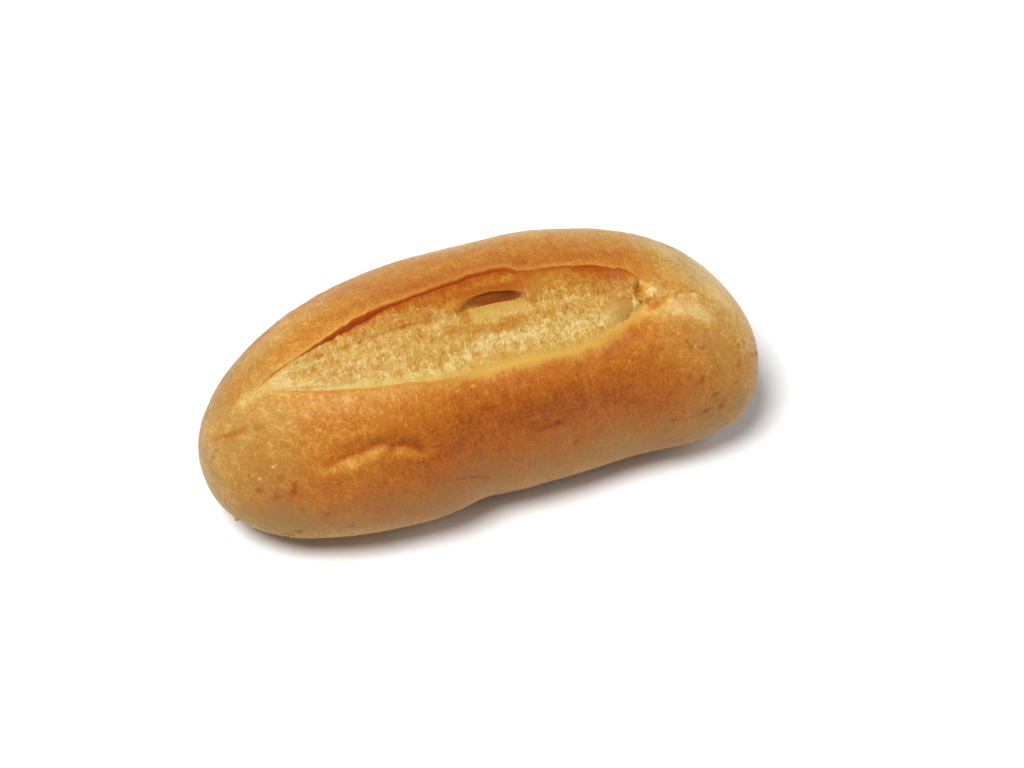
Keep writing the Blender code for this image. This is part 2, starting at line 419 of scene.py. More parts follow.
def stray_pits():
    """Small pits strewn over the blunt end and, thinner, over the slim one."""
    draw = np.random.default_rng(21)
    pits = []
    for k in range(STRAY_PITS):
        x = draw.uniform(38, 67) if k % 3 else draw.uniform(-66, -30)
        girth = draw.uniform(32, 100)
        size = draw.uniform(0.25, 0.5)
        pits.append((x, girth, size * draw.uniform(0.8, 1.6), size, size * draw.uniform(0.3, 0.7)))
    return pits


def path_distance(x, girth, points, path):
    """Signed way from a crease, positive below it, and a share that fades out at both its ends."""
    path = np.array(path) * [1, DEGREE]
    line = smooth_curve(np.clip(x, path[0, 0], path[-1, 0]), path[:, 0], path[:, 1])
    on_line = smooth_skin(x, line)[0]
    away = np.linalg.norm(points - on_line, axis=-1) * np.sign(girth - line)
    run = 0.25 * (path[-1, 0] - path[0, 0])
    return away, ease((x - path[0, 0]) / run) * ease((path[-1, 0] - x) / run)


def crease(way, width, depth):
    """A pinched line with a faint ridge on each side."""
    return depth * (-np.exp(-np.abs(way) / width) + 0.15 * bell(np.abs(way) - 2.5 * width, 1.5 * width))


def fold(way, depth):
    """A deep wrinkle: the skin sinks slowly into it from above, and stands up again in a lit ridge below."""
    below = -bell(way, 1.9) + 0.3 * bell(way - 3.3, 1.8)
    return depth * np.where(way < 0, -bell(way, 3.6), below)


def crust_marks(x, girth, points):
    """Outward lift of creases and pits, how much each place is in one, and where the skin is paler: drawn
    thin, and on the wrinkle's lit ridge also a painted highlight.
    """
    lift = np.zeros(x.shape)
    hollow = np.zeros(x.shape)
    stretched_and_lit = np.zeros(x.shape)
    wander = 0.7 * rough(points, 4, 31)
    broken = np.clip(0.8 + 0.8 * waves(points, 3, 33), 0.2, 1.25)

    way, fade = path_distance(x, girth, points, WRINKLE)
    way = way + 0.5 * wander
    lift += fade * broken * fold(way, 0.8)
    # the wrinkle's hollow value darkens the tone above it and in its groove: painted shade
    hollow += 0.9 * fade * np.where(way < 0, bell(way, 2.2), bell(way, 0.4))
    # the paler ridge under the wrinkle is partly drawn-out skin and partly a painted highlight where it is
    # lit
    stretched_and_lit += 0.8 * fade * broken * bell(way - 1.7, 1.3)
    dashes = ease(1.05 + 1.1 * waves(points, 2.2, 35))
    for path, width, depth in (
        (UNDER_WRINKLE, 0.5, 0.08),
        (LOW_WRINKLE, 0.4, 0.25),
        (SLIM_CREASE, 0.6, 0.8),
        (SLIM_CRACK, 0.55, 0.65),
        (TAIL_CREASE, 0.45, 0.6),
        (TIP_HOOK, 0.35, 0.5),
    ):
        way, fade = path_distance(x, girth, points, path)
        way = way + 0.6 * wander
        lift += fade * dashes * crease(way, width, depth)
        # and likewise darkens the creases: painted shade
        hollow += (0.3 + 1.2 * min(depth, 0.6)) * fade * dashes * bell(way, 1.3 * width)
    for path, reach, sunk, pale in ((TAIL_VALLEY, 2.5, 0.35, 1.3), (TIP_VALLEY, 1.5, 0.1, 0.8)):
        way, fade = path_distance(x, girth, points, path)
        lift -= sunk * fade * bell(way, 1.1 * reach)
        stretched_and_lit += pale * fade * bell(way + 0.6 * wander, reach)

    for pit in PITS + stray_pits():
        away = pit_distance(points, pit)
        lift += 0.7 * pit[4] * (0.2 * bell(away - 1.9, 0.6) - bell(away, 0.95))
        hollow += 1.25 * bell(away, 1.1) * min(1, pit[4] / 0.5)
    for lump in LUMPS:
        away = pit_distance(points, lump) + 0.35 * rough(points, 1.1, 45)
        lift += lump[4] * bell(away, 0.9)
        hollow += 4.2 * lump[5] * bell(away, 1.1)
    away = pit_distance(points, CRATER) + 0.3 * rough(points, 1.5, 41)
    torn_rim = 0.7 + 0.6 * waves(points, 1.3, 43)
    lift += 0.55 * torn_rim * bell(away - 1.25, 0.3) - CRATER[4] * np.clip(1 - away**2, 0, 1)
    hollow += 0.9 * bell(away, 0.75)
    return lift, np.clip(hollow, -1.5, 1.5), np.clip(stretched_and_lit, 0, 1)


def skin_lumps(points):
    """Outward lift of the dough's own slow unevenness, which the crust and the crumb share."""
    return 0.4 * waves(points, 19, 51) + 0.13 * waves(points, 7, 52)


def laid_flat(x, girth, aslant=False):
    """The skin unrolled, to make waves on, and turned by 45 degrees where they run aslant."""
    wound = girth * 25
    if aslant:
        return np.stack([x + wound, wound - x, 0 * x], axis=-1) * math.sqrt(0.5)
    return np.stack([x, wound, 0 * x], axis=-1)


def skin_grain(x, girth, points):
    """Outward lift of the crust's dimples, its drawn wrinkles and its fine blisters."""
    dimples = 0.055 * rough(points, (3.2, 2.2, 2.2), 53, 3)
    drawn = 0.03 * rough(laid_flat(x, girth), (1.4, 6, 9), 55, 2)
    wrinkled = ease((-18 - x) / 25) + ease((x - 38) / 12)
    small = rough(laid_flat(x, girth, aslant=True), (4.5, 1.8, 9), 57, 3)
    fine = 0.03 * (0.3 + wrinkled) * rough(points, 0.9, 58, 2)
    return dimples + drawn + fine + 0.14 * wrinkled * small + 0.06 * strokes(x, girth)


def edge_swell(x, y, beside):
    """Lift of the crust beside the score: the shoulder in front, rounded into the crumb, and the lip."""
    ahead, front_x, behind, back_x = beside
    soft = softness(front_x)
    reach = CRISP_REACH + (SOFT_REACH - CRISP_REACH) * soft
    fade = ease((40 - front_x) / 6) * openness(front_x)
    rise = SHOULDER_RISE * (0.35 + 0.65 * soft) * fade
    shoulder = rise * bell(ahead - SHOULDER_AWAY, SHOULDER_REACH)
    dip = front_dip(front_x) * bell(ahead, reach)
    lip = lip_rise(back_x) * np.exp(-behind / LIP_FADE) * openness(back_x)
    to_back = ease((y - score_middle(x)) / 2 + 0.5)
    return (shoulder - dip) * (1 - to_back) + lip * to_back


# ------------------------ browning

# Patches of the bake: x, girth, reach along the roll, reach around it, browning added (mm and degrees)
BAKED = 0.435
# Two patches paint light rather than bake: (15, -44) a pale rim along the back top edge, a painted
# highlight, and (-45, 62) painted shade under the wrinkle.
BROWNED = [
    (8, 55, 36, 17, 0.36), (-2, 62, 24, 14, 0.1), (-26, 52, 12, 11, 0.12), (-20, 84, 60, 14, 0.22),
    (4, -26, 60, 20, 0.06), (32, -38, 34, 12, -0.1), (2, -10, 36, 6, 0.26), (54, -26, 9, 14, -0.34),
    (56, 26, 6, 8, 0.05), (-41, 35, 9, 9, 0.07), (-65, 50, 5, 14, 0.1), (-50, -28, 12, 10, -0.16),
    (15, -44, 36, 9, -0.14), (-24, 68, 14, 10, 0.09), (-48, 68, 18, 16, 0.12), (36, 68, 16, 16, 0.18),
    (12, 74, 50, 14, 0.07), (31, 33, 5, 4, 0.1), (14, -17, 40, 9, 0.08), (-70, 80, 6, 90, -0.34),
    (-70, -60, 6, 60, -0.26), (-40, -18, 16, 12, -0.05), (-62, 5, 10, 30, -0.04), (66, 10, 12, 50, -0.26),
    (56, 34, 7, 10, 0.06), (58, -8, 10, 14, -0.18), (45, 34, 9, 7, 0.06), (-34, 28, 12, 5, -0.05),
    (-50, 9, 9, 7, -0.18), (-56, 24, 7, 9, -0.1), (45, 10, 4, 4, -0.12), (56, 4, 6, 8, -0.08),
    (29, 40, 8, 5, 0.1), (-20, 100, 9, 8, 0.2), (40, 102, 9, 8, 0.3), (62, 52, 6, 18, 0.06),
    (-27, 38, 9, 5, 0.07), (-45, 62, 5, 4, 0.1), (-50, 106, 22, 9, -0.12), (-38, 104, 16, 8, -0.04),
]


def from_tip(x):
    """0 at both tips of the roll, where all girth angles meet, and 1 from a little way in."""
    return ease(1.5 * np.sqrt(1 - np.abs(2 * x / LENGTH) ** 3))


def baked(x, girth, points):
    """How brown the crust is at each place, from 0, pale dough, to 1, dark brown."""
    around = np.abs(girth) / DEGREE
    tone = BAKED + 0 * x
    away = from_tip(x)
    for at_x, at_girth, reach_x, reach_girth, more in BROWNED:
        patch = bell(girth / DEGREE - at_girth, reach_girth)
        tone += more * bell(x - at_x, reach_x) * (0.4 + away * (patch - 0.4))
    tone += 0.04 * ease((around - 82) / 24) * away
    wound = laid_flat(x, girth)
    blotches = 0.04 * rough(points, 9, 71) + 0.035 * rough(points, 2.6, 74)
    drawn = 0.05 * rough(wound, (1.3, 6, 9), 77, 2)
    below_edge = bell(girth / DEGREE - 42, 8) * ease((x + 22) / 10)
    flecks = (0.11 + 0.08 * below_edge) * ease(2.6 * waves(wound, (0.6, 1.7, 9), 73) - 0.7)
    return tone + blotches + drawn - flecks - 0.13 * strokes(x, girth)


def strokes(x, girth):
    """Short pale strokes where the dough was drawn out aslant: many on the slim end, fewer on the blunt."""
    where = ease((-22 - x) / 16) + 0.6 * ease((x - 40) / 10)
    return where * ease(2.8 * waves(laid_flat(x, girth, aslant=True), (3.4, 0.8, 9), 79) - 0.5)


def dullness_and_low_shade(x, girth, points):
    """How dry and matt the crust is: on both ends, and low down on the flanks, where this tan is also
    painted shade.
    """
    around = np.abs(girth) / DEGREE
    ends = 0.38 * ease((x - 38) / 18) - 0.28 * ease((x - 56) / 8)
    # low on the flanks the tan is painted shade as well as drier crust
    low = 0.25 + from_tip(x) * (0.5 * ease((around - 64) / 34) - 0.25)
    dull_and_low_shade = low + ends + 0.4 * ease((-40 - x) / 18)
    uneven = 1 + 0.5 * rough(points, 6, 87) + 0.35 * rough(points, 0.9, 88, 2)
    return np.clip(dull_and_low_shade * uneven, 0, 0.75)


def edge_colour(x, y, beside):
    """How golden the crust is where the score drew it out, and how much browner its thin front line is."""
    ahead, front_x, behind, _ = beside
    soft = softness(front_x)
    in_front = y < score_middle(x)
    places = np.stack([x, y, 0 * x], axis=-1)
    uneven = 1 + 0.5 * rough(places, 3, 91) + 0.4 * rough(places, (0.6, 2, 9), 92, 2)
    golden = (0.5 + 0.45 * soft) * bell(ahead / uneven, 0.8 + 0.5 * soft) * in_front
    golden += 0.3 * bell(behind / uneven, 1.2) * ~in_front
    golden *= ease((40.5 - x) / 4) * (1 - 0.4 * ease((x - 23) / 7))
    line = (1 - soft) * bell(ahead - 0.25, 0.4) * in_front * openness(front_x)
    band = 0.1 * soft * bell(ahead - 2.5, 1.8) * in_front
    return golden, 0.26 * line + band


# ------------------------ meshes


def placed(name, data):
    """A new object of the scene, at its origin."""
    thing = bpy.data.objects.new(name, data)
    bpy.context.scene.collection.objects.link(thing)
    return thing


def loft(name, rings, tips, looks):
    """A closed mesh object: rings (rings by points by 3) skinned with quads, with a fan to each tip.

    Each of its looks, a value for every point, is stored under its name. The tips take their ring's mean.
    """
    count, around = rings.shape[:2]
    points = (np.concatenate([rings.reshape(-1, 3), np.array(tips)]) + TO_PART) * MM
    place = np.arange(count * around).reshape(count, around)
    ahead = np.roll(place, -1, axis=1)
    quads = np.stack([place[:-1], place[1:], ahead[1:], ahead[:-1]], axis=-1).reshape(-1, 4)
    first_tip = np.full(around, count * around)
    fans = [np.stack([place[0], ahead[0], first_tip], axis=-1)]
    fans.append(np.stack([ahead[-1], place[-1], first_tip + 1], axis=-1))
    mesh = bpy.data.meshes.new(name)
    mesh.from_pydata(points.tolist(), [], quads.tolist() + np.concatenate(fans).tolist())
    mesh.shade_smooth()
    for look, values in looks.items():
        both_tips = [values[0].mean(), values[-1].mean()]
        layer = mesh.attributes.new(look, "FLOAT", "POINT")
        layer.data.foreach_set("value", np.concatenate([values.ravel(), both_tips]).astype(np.float32))
    return placed(name, mesh)


def ring_places(first, last, count):
    """X of each ring, closer together towards both ends, which are left out."""
    turn = np.linspace(0, math.pi, count + 2)[1:-1]
    return (first + last) / 2 - (last - first) / 2 * np.cos(turn)


def crust_columns(x):
    """Girth of every column of every ring, closer together at the score, and where each stretch begins."""
    front_y, back_y = score_edges(x)
    front_edge, back_edge = girth_at(x, front_y), girth_at(x, back_y)
    lip_end = girth_at(x, back_y + LIP_SPREAD * (1 - openness(x)))
    level = 0 * x
    stretches = [
        (level + math.pi, level + UNDER_GIRTH, UNDER_STEPS, 1),
        (level + UNDER_GIRTH, front_edge, FRONT_STEPS, 1.35),
        (front_edge, back_edge, TROUGH_STEPS, 1),
        (back_edge, lip_end, LIP_STEPS, 1),
        (lip_end, level - UNDER_GIRTH, BACK_STEPS, 1 / 1.25),
        (level - UNDER_GIRTH, level - math.pi, UNDER_STEPS, 1),
    ]
    columns = []
    for start, end, steps, crowd in stretches:
        share = np.arange(steps) / steps
        share = 1 - (1 - share) ** crowd if crowd > 1 else share ** (1 / crowd)
        columns.append(start[:, None] + (end - start)[:, None] * share)
    counts = np.cumsum([0] + [stretch[2] for stretch in stretches])
    return np.concatenate(columns, axis=1), counts


def crust_rings():
    """X of each ring of the crust: as ring_places, and closer together where the score ends bluntly."""
    even = ring_places(-LENGTH / 2, LENGTH / 2, 4 * CRUST_RINGS)
    reached = np.cumsum(1 + 2.2 * bell(even - 40.2, 1.3))
    return np.interp(np.linspace(0, 1, CRUST_RINGS + 2)[1:-1], reached / reached[-1], even)


def crust():
    """The whole baked crust, closed, with a trough under the crumb."""
    line = crust_rings()
    girth, counts = crust_columns(line)
    x = line[:, None] + 0 * girth
    points, outward = smooth_skin(x, girth)
    marks, hollow, stretched_and_lit = crust_marks(x, girth, points)
    y = points[..., 1].copy()
    bake = baked(x, girth, points) - 0.3 * stretched_and_lit
    beside = beside_score(x, y)
    golden, browner = edge_colour(x, y, beside)
    lift = edge_swell(x, y, beside) + skin_lumps(points) + skin_grain(x, girth, points) + marks
    opened = openness(line)[:, None]

    # the trough ends where the crumb does
    covered = (ease((40.6 - line) / 1.6) * ease((line + 54) / 1.5))[:, None]
    trough = slice(counts[2], counts[3])
    steps = np.arange(TROUGH_STEPS) / TROUGH_STEPS
    sunk = ease(steps / 0.25) * opened**0.3 * covered
    lift[:, trough] = lift[:, trough] * (1 - sunk) - TROUGH_DEPTH * opened * sunk

    # the lip climbs out of the trough and turns over at its top
    lip = slice(counts[3], counts[4])
    climb = np.arange(LIP_STEPS) / LIP_STEPS
    turn = math.pi / 2 * np.clip((1 - climb) / 0.6, 0, 1)
    under = np.clip(1 - climb / 0.4, 0, 1)
    top = lift[:, counts[4]][:, None]
    nose = LIP_NOSE * opened
    fall = nose * (1 - np.cos(turn))
    deep = (top - nose + TROUGH_DEPTH * opened * covered) * under
    raised = ease(opened / 0.15) * covered
    lift[:, lip] += raised * (top - fall - deep - lift[:, lip])
    points += outward * lift[..., None]
    points[:, lip, 1] += raised * (-nose * np.sin(turn) + (LIP_TUCK + LIP_NOSE) * opened * under)
    points[..., 2] = np.maximum(points[..., 2], 0)

    tips = [(side * LENGTH / 2, SKEW * side, TIP_HEIGHT) for side in (-1, 1)]
    torn = np.zeros(x.shape)
    redness = 0.42 + 0.55 * lip_rise(line) + 0.35 * rough(along_line(line), 3, 93)
    redness = (np.clip(redness, 0.1, 1) * ease((35.5 - line) / 2.5))[:, None]
    torn[:, lip] = raised * ease((0.68 - climb) / 0.3) * redness
    torn[:, trough] = 0.5 * raised * ease(steps / 0.4) * ease((36 - line) / 3)[:, None]
    back = slice(counts[4], None)
    torn[:, back] = 0.2 * raised * redness * bell(np.clip(y - score_edges(x)[1], 0, None)[:, back], 0.9)
    torn[:, back] *= (y > score_middle(x))[:, back]
    looks = {
        "bake": bake + browner,
        "hollow": hollow,
        "dull_and_low_shade": dullness_and_low_shade(x, girth, points) * (1 - 0.5 * np.clip(hollow, 0, 1)),
        "golden": np.clip(golden + 0.12 * stretched_and_lit, 0, 1),
        "torn": torn,
        "dusty": spots(points, DUSTY),
        "shreds": spots(points, TORN_BITS),
        "clinging": spots(points, CLINGING),
    }
    return loft("crust", points, tips, looks)


# ------------------------ the crumb in the score

# The burst bubble: an arched film with a cave behind its rim. Way through the fold, Y and drop in mm
CAVE_X = 4.4
CAVE_LEFT = 9.4
CAVE_RIGHT = 8.2
CAVE_PROFILE = [
    (0, 0.2, 1.9), (0.1, 1.8, 2.5), (0.22, 4.2, 2.9), (0.3, 5.3, 3.2), (0.4, 6.3, 3.3),
    (0.48, 6.9, 2.8), (0.55, 7.2, 2.3), (0.62, 7.35, 1.8), (0.72, 7.3, 1.4), (0.76, 7.2, 1.2),
    (0.8, 7.4, 0.95), (0.88, 8.4, 1), (1, 10.2, 1.5),
]
CAVE_RIM = [
    (-12, 7.3), (-8, 5), (-5, 4.7), (-2.9, 5.8), (-0.6, 6.8), (2.1, 7.3), (4.6, 7.4), (7, 7), (8.8, 6.7),
    (10.4, 6.1), (11.4, 5.3), (12.4, 4.6), (14, 4.8), (17, 7.3),
]  # x, y
CAVE_REST = 7.3  # the rim's y where it isn't bent

# The unburst bubble at the blunt end of the score
BUBBLE_X = 32.5
BUBBLE_Y = -4.6
BUBBLE_HALF = (4.8, 3)
BUBBLE_TURN = 26 * DEGREE
BUBBLE_RISE = 2

# The torn hole beside it, at the score's very end
HOLE_X = 41.2  # of the lump it bends around
HOLE_Y = -1.6
HOLE_BEND = 2.2
HOLE_HALF = 1.1
HOLE_DEPTH = 1.1

# The crumb's shelf: behind this line, in mm, the crumb was torn later, and stands higher and browner
SHELF = [
    (-56, 7), (-46, 4.5), (-35, 3.6), (-25, 3.9), (-17, 4), (-9, 3.4), (0, 3), (10, 2.6), (17, 2.2),
    (25, 2), (36, 0.5),
]
SHELF_RISE = 0.45
# A browned ridge in front of the cave
RIDGE = [(-9, 0.6), (-5, -0.6), (-1, -1.6), (3, -2.4), (7, -2.3), (10, -1.5)]


def cave_mouth(x):
    """How far the burst bubble's fold is drawn out at each section: 1 in its middle, 0 past its ends."""
    along = x - CAVE_X
    left = np.clip(1 - np.abs(along / CAVE_LEFT) ** 2.1, 0, 1) ** 0.75
    right = np.clip(1 - np.abs(along / CAVE_RIGHT) ** 5, 0, 1) ** 0.6
    return np.where(along < 0, left, right)


def bubble_form(x, y):
    """How much each place is skin of the unburst bubble, which has no edge on its left, and its rise."""
    turn = np.array([math.cos(BUBBLE_TURN), math.sin(BUBBLE_TURN)])
    along = ((x - BUBBLE_X) * turn[0] + (y - BUBBLE_Y) * turn[1]) / BUBBLE_HALF[0]
    across = ((y - BUBBLE_Y) * turn[0] - (x - BUBBLE_X) * turn[1]) / BUBBLE_HALF[1]
    share = np.clip(1 - along**2 - across**2, 0, 1)
    skin = ease(share / 0.35) * ease((along + 1) / 0.9)
    return skin, BUBBLE_RISE * share * (0.4 + 0.6 * ease((along + 1) / 1.3))


def from_line(x, y, line):
    """How far places lie behind a line given in mm, and a share that fades out past both its ends."""
    line = np.array(line)
    at = np.clip(x, line[0, 0], line[-1, 0])
    fade = ease((x - line[0, 0]) / 2 + 0.5) * ease((line[-1, 0] - x) / 2 + 0.5)
    return y - smooth_curve(at, line[:, 0], line[:, 1]), fade


def crumb_drop(x, across):
    """How far the crumb lies under the even skin, before its own relief."""
    from_front = ease((1 + across) / 0.4)
    to_back = ease((across - 0.1) / 0.9)
    opened = openness(x)
    foot = LEAST_FOOT_DROP + FOOT_DROP * lip_rise(x)
    deep = CRUMB_DROP + (foot - CRUMB_DROP) * to_back
    edge = front_dip(x) + 0.1 - 0.08 * ease((-38 - x) / 8) - 0.13 * softness(x)
    tuck = (0.1 + 0.8 * opened) * np.clip((np.abs(across) - 1) / 0.06, 0, None) ** 2
    ends = ease((x - 39.75) / 0.5) + ease((-53 - x) / 1.2)
    deep = deep * (1 - 0.7 * ease((x - 33.5) / 5))
    return edge * (1 - from_front) + deep * opened * from_front + tuck + 0.6 * ends


def crumb_grain(places, coarse):
    """Lift of the torn crumb's drawn strands and cells, and how pale, or below 0 how brown, each bit is:
    partly its own colour, partly painted glints and painted shade in its cells and gaps.
    """
    bent = places.copy()
    bent[..., 0] += 0.9 * waves(places, 5, 61) + 0.3 * waves(places, 1.7, 67)
    bent[..., 1] += 0.9 * waves(places, 3, 68)
    strands = 0.45 - np.abs(waves(bent, (0.85, 3, 9), 65)) * 1.6
    threads = 0.45 - np.abs(waves(bent, (0.5, 1.5, 9), 66)) * 1.6
    near = web(bent, (1, 1.7), 63)
    open_cells = ease(0.35 + 1.3 * waves(places, 4.5, 69))
    cells = -np.clip(1 - near / 0.5, 0, 1) * open_cells
    lumps = waves(places, (2.6, 2.6, 9), 62)
    speckle = waves(places, (0.45, 0.7, 9), 64)
    drawn = 0.45 + 0.55 * ease((places[..., 0] + 32) / 24)
    # painted glints: pale specks standing in for highlights, most of them towards the front
    painted_glints = ease(3 * waves(places, (0.5, 1.1, 9), 70) - 0.9)
    painted_glints *= ease(0.5 + 1.5 * waves(places, 6, 72))
    clumps = waves(places, (1.4, 1.3, 9), 60)
    at_front = 1 + 0.5 * ease((-1 - places[..., 1]) / 4) * ease((places[..., 0] + 12) / 10)
    lift = 0.1 * drawn * strands + 0.06 * threads + 0.15 * cells + 0.24 * lumps + 0.05 * speckle
    lift += 0.08 * painted_glints + 0.1 * clumps
    pale = 0.16 * drawn * strands + 0.12 * threads + 0.16 * cells + 0.17 * lumps + 0.18 * speckle
    pale += 0.16 * clumps + 0.3 * at_front * painted_glints
    return lift * coarse, pale * (0.25 + 0.75 * coarse)


def crumb_tone(x, y, across, floor, film, bubble):
    """How brown the crumb is, from 0, cream, to 1, the red-brown of the film, before its grain."""
    soft = softness(x)
    behind, _ = from_line(x, y, SHELF)
    tone = 0.31 - 0.05 * ease((-16 - x) / 16) - 0.14 * ease((-41 - x) / 7)
    browner = 0.07 + 0.17 * bell(x + 9, 17) + 0.06 * ease((x - 8) / 8)
    tone = tone + browner * ease(behind / 1.6 + 0.4) + 0.6 * browner * ease((behind - 2) / 4)
    tone += 0.16 * bell(behind, 0.7) * bell(x + 18, 9)
    to_right = ease((x + 14) / 10)
    tone += (0.12 + 0.08 * to_right + 0.35 * lip_rise(x)) * bell(across - 1, 0.1 + 0.04 * to_right)
    tone += 0.3 * bell(across - 1, 0.3) * bell(x + 51, 2.5)
    tone += 0.14 * bell(x - 35.5, 3) * ease((y + 4) / 2)
    ahead, fade = from_line(x, y, RIDGE)
    tone += 0.23 * fade * bell(ahead, 1.5) * (0.85 + 0.4 * ease((x - 3) / 5))
    front = across + 1
    tone -= 0.18 * bell(front - 0.35 * soft - 0.1, 0.2)
    tone -= 0.22 * spot(x, y, -7.5, 3.2, 1.8)
    tone += 0.28 * ease((across - 0.3) / 0.5) * bell(x - 32, 7)
    over_cave = film * ease((x + 10) / 8) + 0.9 * bell(across - 0.93, 0.2) * bell(x - 2, 11)
    over_cave += 0.6 * spot(x, y, 13, 6.5, 2.6)
    tone = tone + (0.76 - tone) * np.clip(over_cave, 0, 1)
    # the cave's floor is browner towards its back and its left end, under the painted shade there
    bottom = 0.2 + 0.55 * np.maximum(ease(y - 5.5), ease((-1 - x) / 2))
    tone = tone + (bottom - tone) * floor * 0.85
    # the bubble's skin is browner towards its right: painted shade on its side away from the light
    skin = 0.3 + 0.38 * ease((x - 31.5) / 4.5)
    return tone + (skin - tone) * bubble


def cave_shade(x, y, floor):
    """Painted shade inside the cave: a dark brown behind a straight line across its floor, where the cave
    lies in shadow.
    """
    start = 4.9 - 0.9 * ease((-1 - x) / 3) - 0.2 * ease((x - 6) / 4)
    deeper = ease(y - 6.3)  # deeper in, where little light comes, the painted shade is lighter, as painted light against the real shadow
    shade = floor * ease((y - start) / 0.45)
    return shade * (0.8 + 0.2 * ease((x + 1) / 4)) * (1 - 0.45 * deeper)


def crumb_rows(x):
    """Where the rows run across the score, from -1 at its front edge to 1 at its back one."""
    across = np.linspace(-1.06, 1.06, 600)
    crowd = 1 + 2.2 * cave_mouth(x)[:, None] * bell(across - 0.42, 0.3)
    reached = np.cumsum(crowd, axis=1)
    reached = (reached - reached[:, :1]) / (reached[:, -1:] - reached[:, :1])
    share = np.linspace(0, 1, CRUMB_ROWS)
    return np.stack([np.interp(share, row, across) for row in reached])


def cave_fold(line, y):
    """The burst bubble's fold, which takes the place of a stretch of each section.

    Gives each place's Y, bent with the rim, the Y and the drop that the fold draws it to, how far it is
    drawn there, and how much of that is the cave's floor.
    """
    rim = np.array(CAVE_RIM)
    bend = CAVE_REST - smooth_curve(np.clip(line, rim[0, 0], rim[-1, 0]), rim[:, 0], rim[:, 1])[:, None]
    knots, cave_y, cave_drop = zip(*CAVE_PROFILE)
    inside = np.clip((y - cave_y[0]) / (cave_y[-1] - cave_y[0]), 0, 1)
    bent = bend * ease(np.minimum(inside / 0.74, (1 - inside) / 0.26))
    fold_y = smooth_curve(inside, knots, cave_y) - bent
    share = cave_mouth(line)[:, None] * ease(inside / 0.08) * ease((1 - inside) / 0.08)
    floor = share * ease((0.66 - inside) / 0.06)
    return y - bent, fold_y, smooth_curve(inside, knots, cave_drop), share, floor


def crumb_coarseness(x, y, across, floor, film, bubble):
    """How strongly the torn crumb's grain shows: 1 in the open crumb and 0 on smooth skins."""
    by_film = bell(across - 1, 0.35) * bell(x - 1, 11)
    coarse = np.clip(1 - 1.2 * floor - film - 0.8 * by_film - bubble, 0, 1) * openness(x)
    coarse *= 1 - 0.65 * ease((x - 8) / 8) * ease((across - 0.35) / 0.3)
    ahead, fade = from_line(x, y, RIDGE)
    coarse *= 1 - 0.7 * bell(ahead, 1.4) * fade
    coarse *= 1 - 0.8 * bell(across + 1, 0.12 + 0.04 * softness(x))
    return coarse * (1 - 0.8 * spot(x, y, 13, 6, 2.6))


def score_crumb():
    """The torn crumb that fills the score: a closed pad, finely cut on top."""
    line = ring_places(CRUMB_FROM, CRUMB_TO, CRUMB_RINGS)
    across = crumb_rows(line)
    x = line[:, None] + 0 * across
    front_edge, back_edge = (edge[:, None] for edge in score_edges(line))
    middle, half = (front_edge + back_edge) / 2, (back_edge - front_edge) / 2
    drop = crumb_drop(x, across)
    y, fold_y, fold_drop, share, floor = cave_fold(line, middle + half * across)
    film = share - floor
    bubble, bubble_rise = bubble_form(x, y)
    coarse = crumb_coarseness(x, y, across, floor, film, bubble)
    painted_bubble_shadow = np.hypot((x - 27.6) / 2.6, y + 8 + 0.25 * (x - 27.6))

    y = y + share * (fold_y - y)
    flat = np.stack([x, y, 0 * x], axis=-1)
    points, outward = smooth_skin(x, girth_at(x, y))
    behind, _ = from_line(x, y, SHELF)
    ahead, ridge_fade = from_line(x, y, RIDGE)
    grain, pale = crumb_grain(flat, coarse)
    lift = skin_lumps(points) - (drop + share * (fold_drop - drop)) + grain
    lift += SHELF_RISE * openness(x) * ease(behind / 1.2 + 0.5) * (1 - share)
    lift += 0.45 * ridge_fade * bell(ahead, 1) + bubble_rise
    lift += 0.6 * bell(np.hypot((x - 13.2) / 3.4, (y - 7) / 3), 1) * (1 - share)
    from_lump = np.hypot(x - HOLE_X, (y - HOLE_Y) / 1.15)
    hole = np.abs(from_lump - HOLE_BEND) / HOLE_HALF + 0.25 * waves(flat, 1.6, 95)
    lift -= HOLE_DEPTH * bell(hole, 0.8) ** 0.8 * openness(x) ** 0.5
    points += outward * lift[..., None]

    # the pad's hidden underside
    under_y = middle + half * np.linspace(1, -1, CRUMB_FLOOR_ROWS)
    under_x = line[:, None] + 0 * under_y
    under, out = smooth_skin(under_x, girth_at(under_x, under_y))
    under -= out * (0.9 + PAD_DEPTH * openness(under_x))[..., None]
    rings = np.concatenate([points, under], axis=1)
    tips = [ring.mean(axis=0) for ring in (rings[0], rings[-1])]

    toast = crumb_tone(x, y, across, floor, film, bubble) - pale * (1 - 0.7 * np.clip(film, 0, 1))
    # browner in the torn hole, and a painted shadow along the unburst bubble's lower left edge
    toast += 0.4 * bell(hole, 0.9) + 0.3 * bell(painted_bubble_shadow, 0.3)
    fibre = 0.8 * coarse * ease(0.6 + 1.2 * waves(flat, 3, 81))
    fibre *= (coarse > 0.5) & (hole > 1.4) & (x < 36) & (np.abs(across) < 0.92)
    edge_reach = (0.13 - 0.05 * softness(x)) * (1 + 0.5 * waves(flat, (0.6, 2, 9), 83))
    golden = bell((across + 1) / edge_reach, 1) * (0.3 + 0.4 * ease((x + 38) / 12) + 0.2 * softness(x))
    on_top = {
        "toast": np.minimum(toast, 0.9),
        "golden": golden,
        "fibre": fibre,
        "bubble": 0.65 * bubble,
        # the cave's painted shade
        "cave": cave_shade(x, y, floor),
    }
    below = np.zeros(under_x.shape)
    looks = {name: np.concatenate([values, below], axis=1) for name, values in on_top.items()}
    return loft("score_crumb", rings, tips, looks)


# ------------------------ materials


def tint(red, green, blue):
    """A linear colour from the usual 0 to 255 levels."""
    levels = np.array([red, green, blue]) / 255
    linear = np.where(levels <= 0.04045, levels / 12.92, ((levels + 0.055) / 1.055) ** 2.4)
    return (*linear.tolist(), 1)


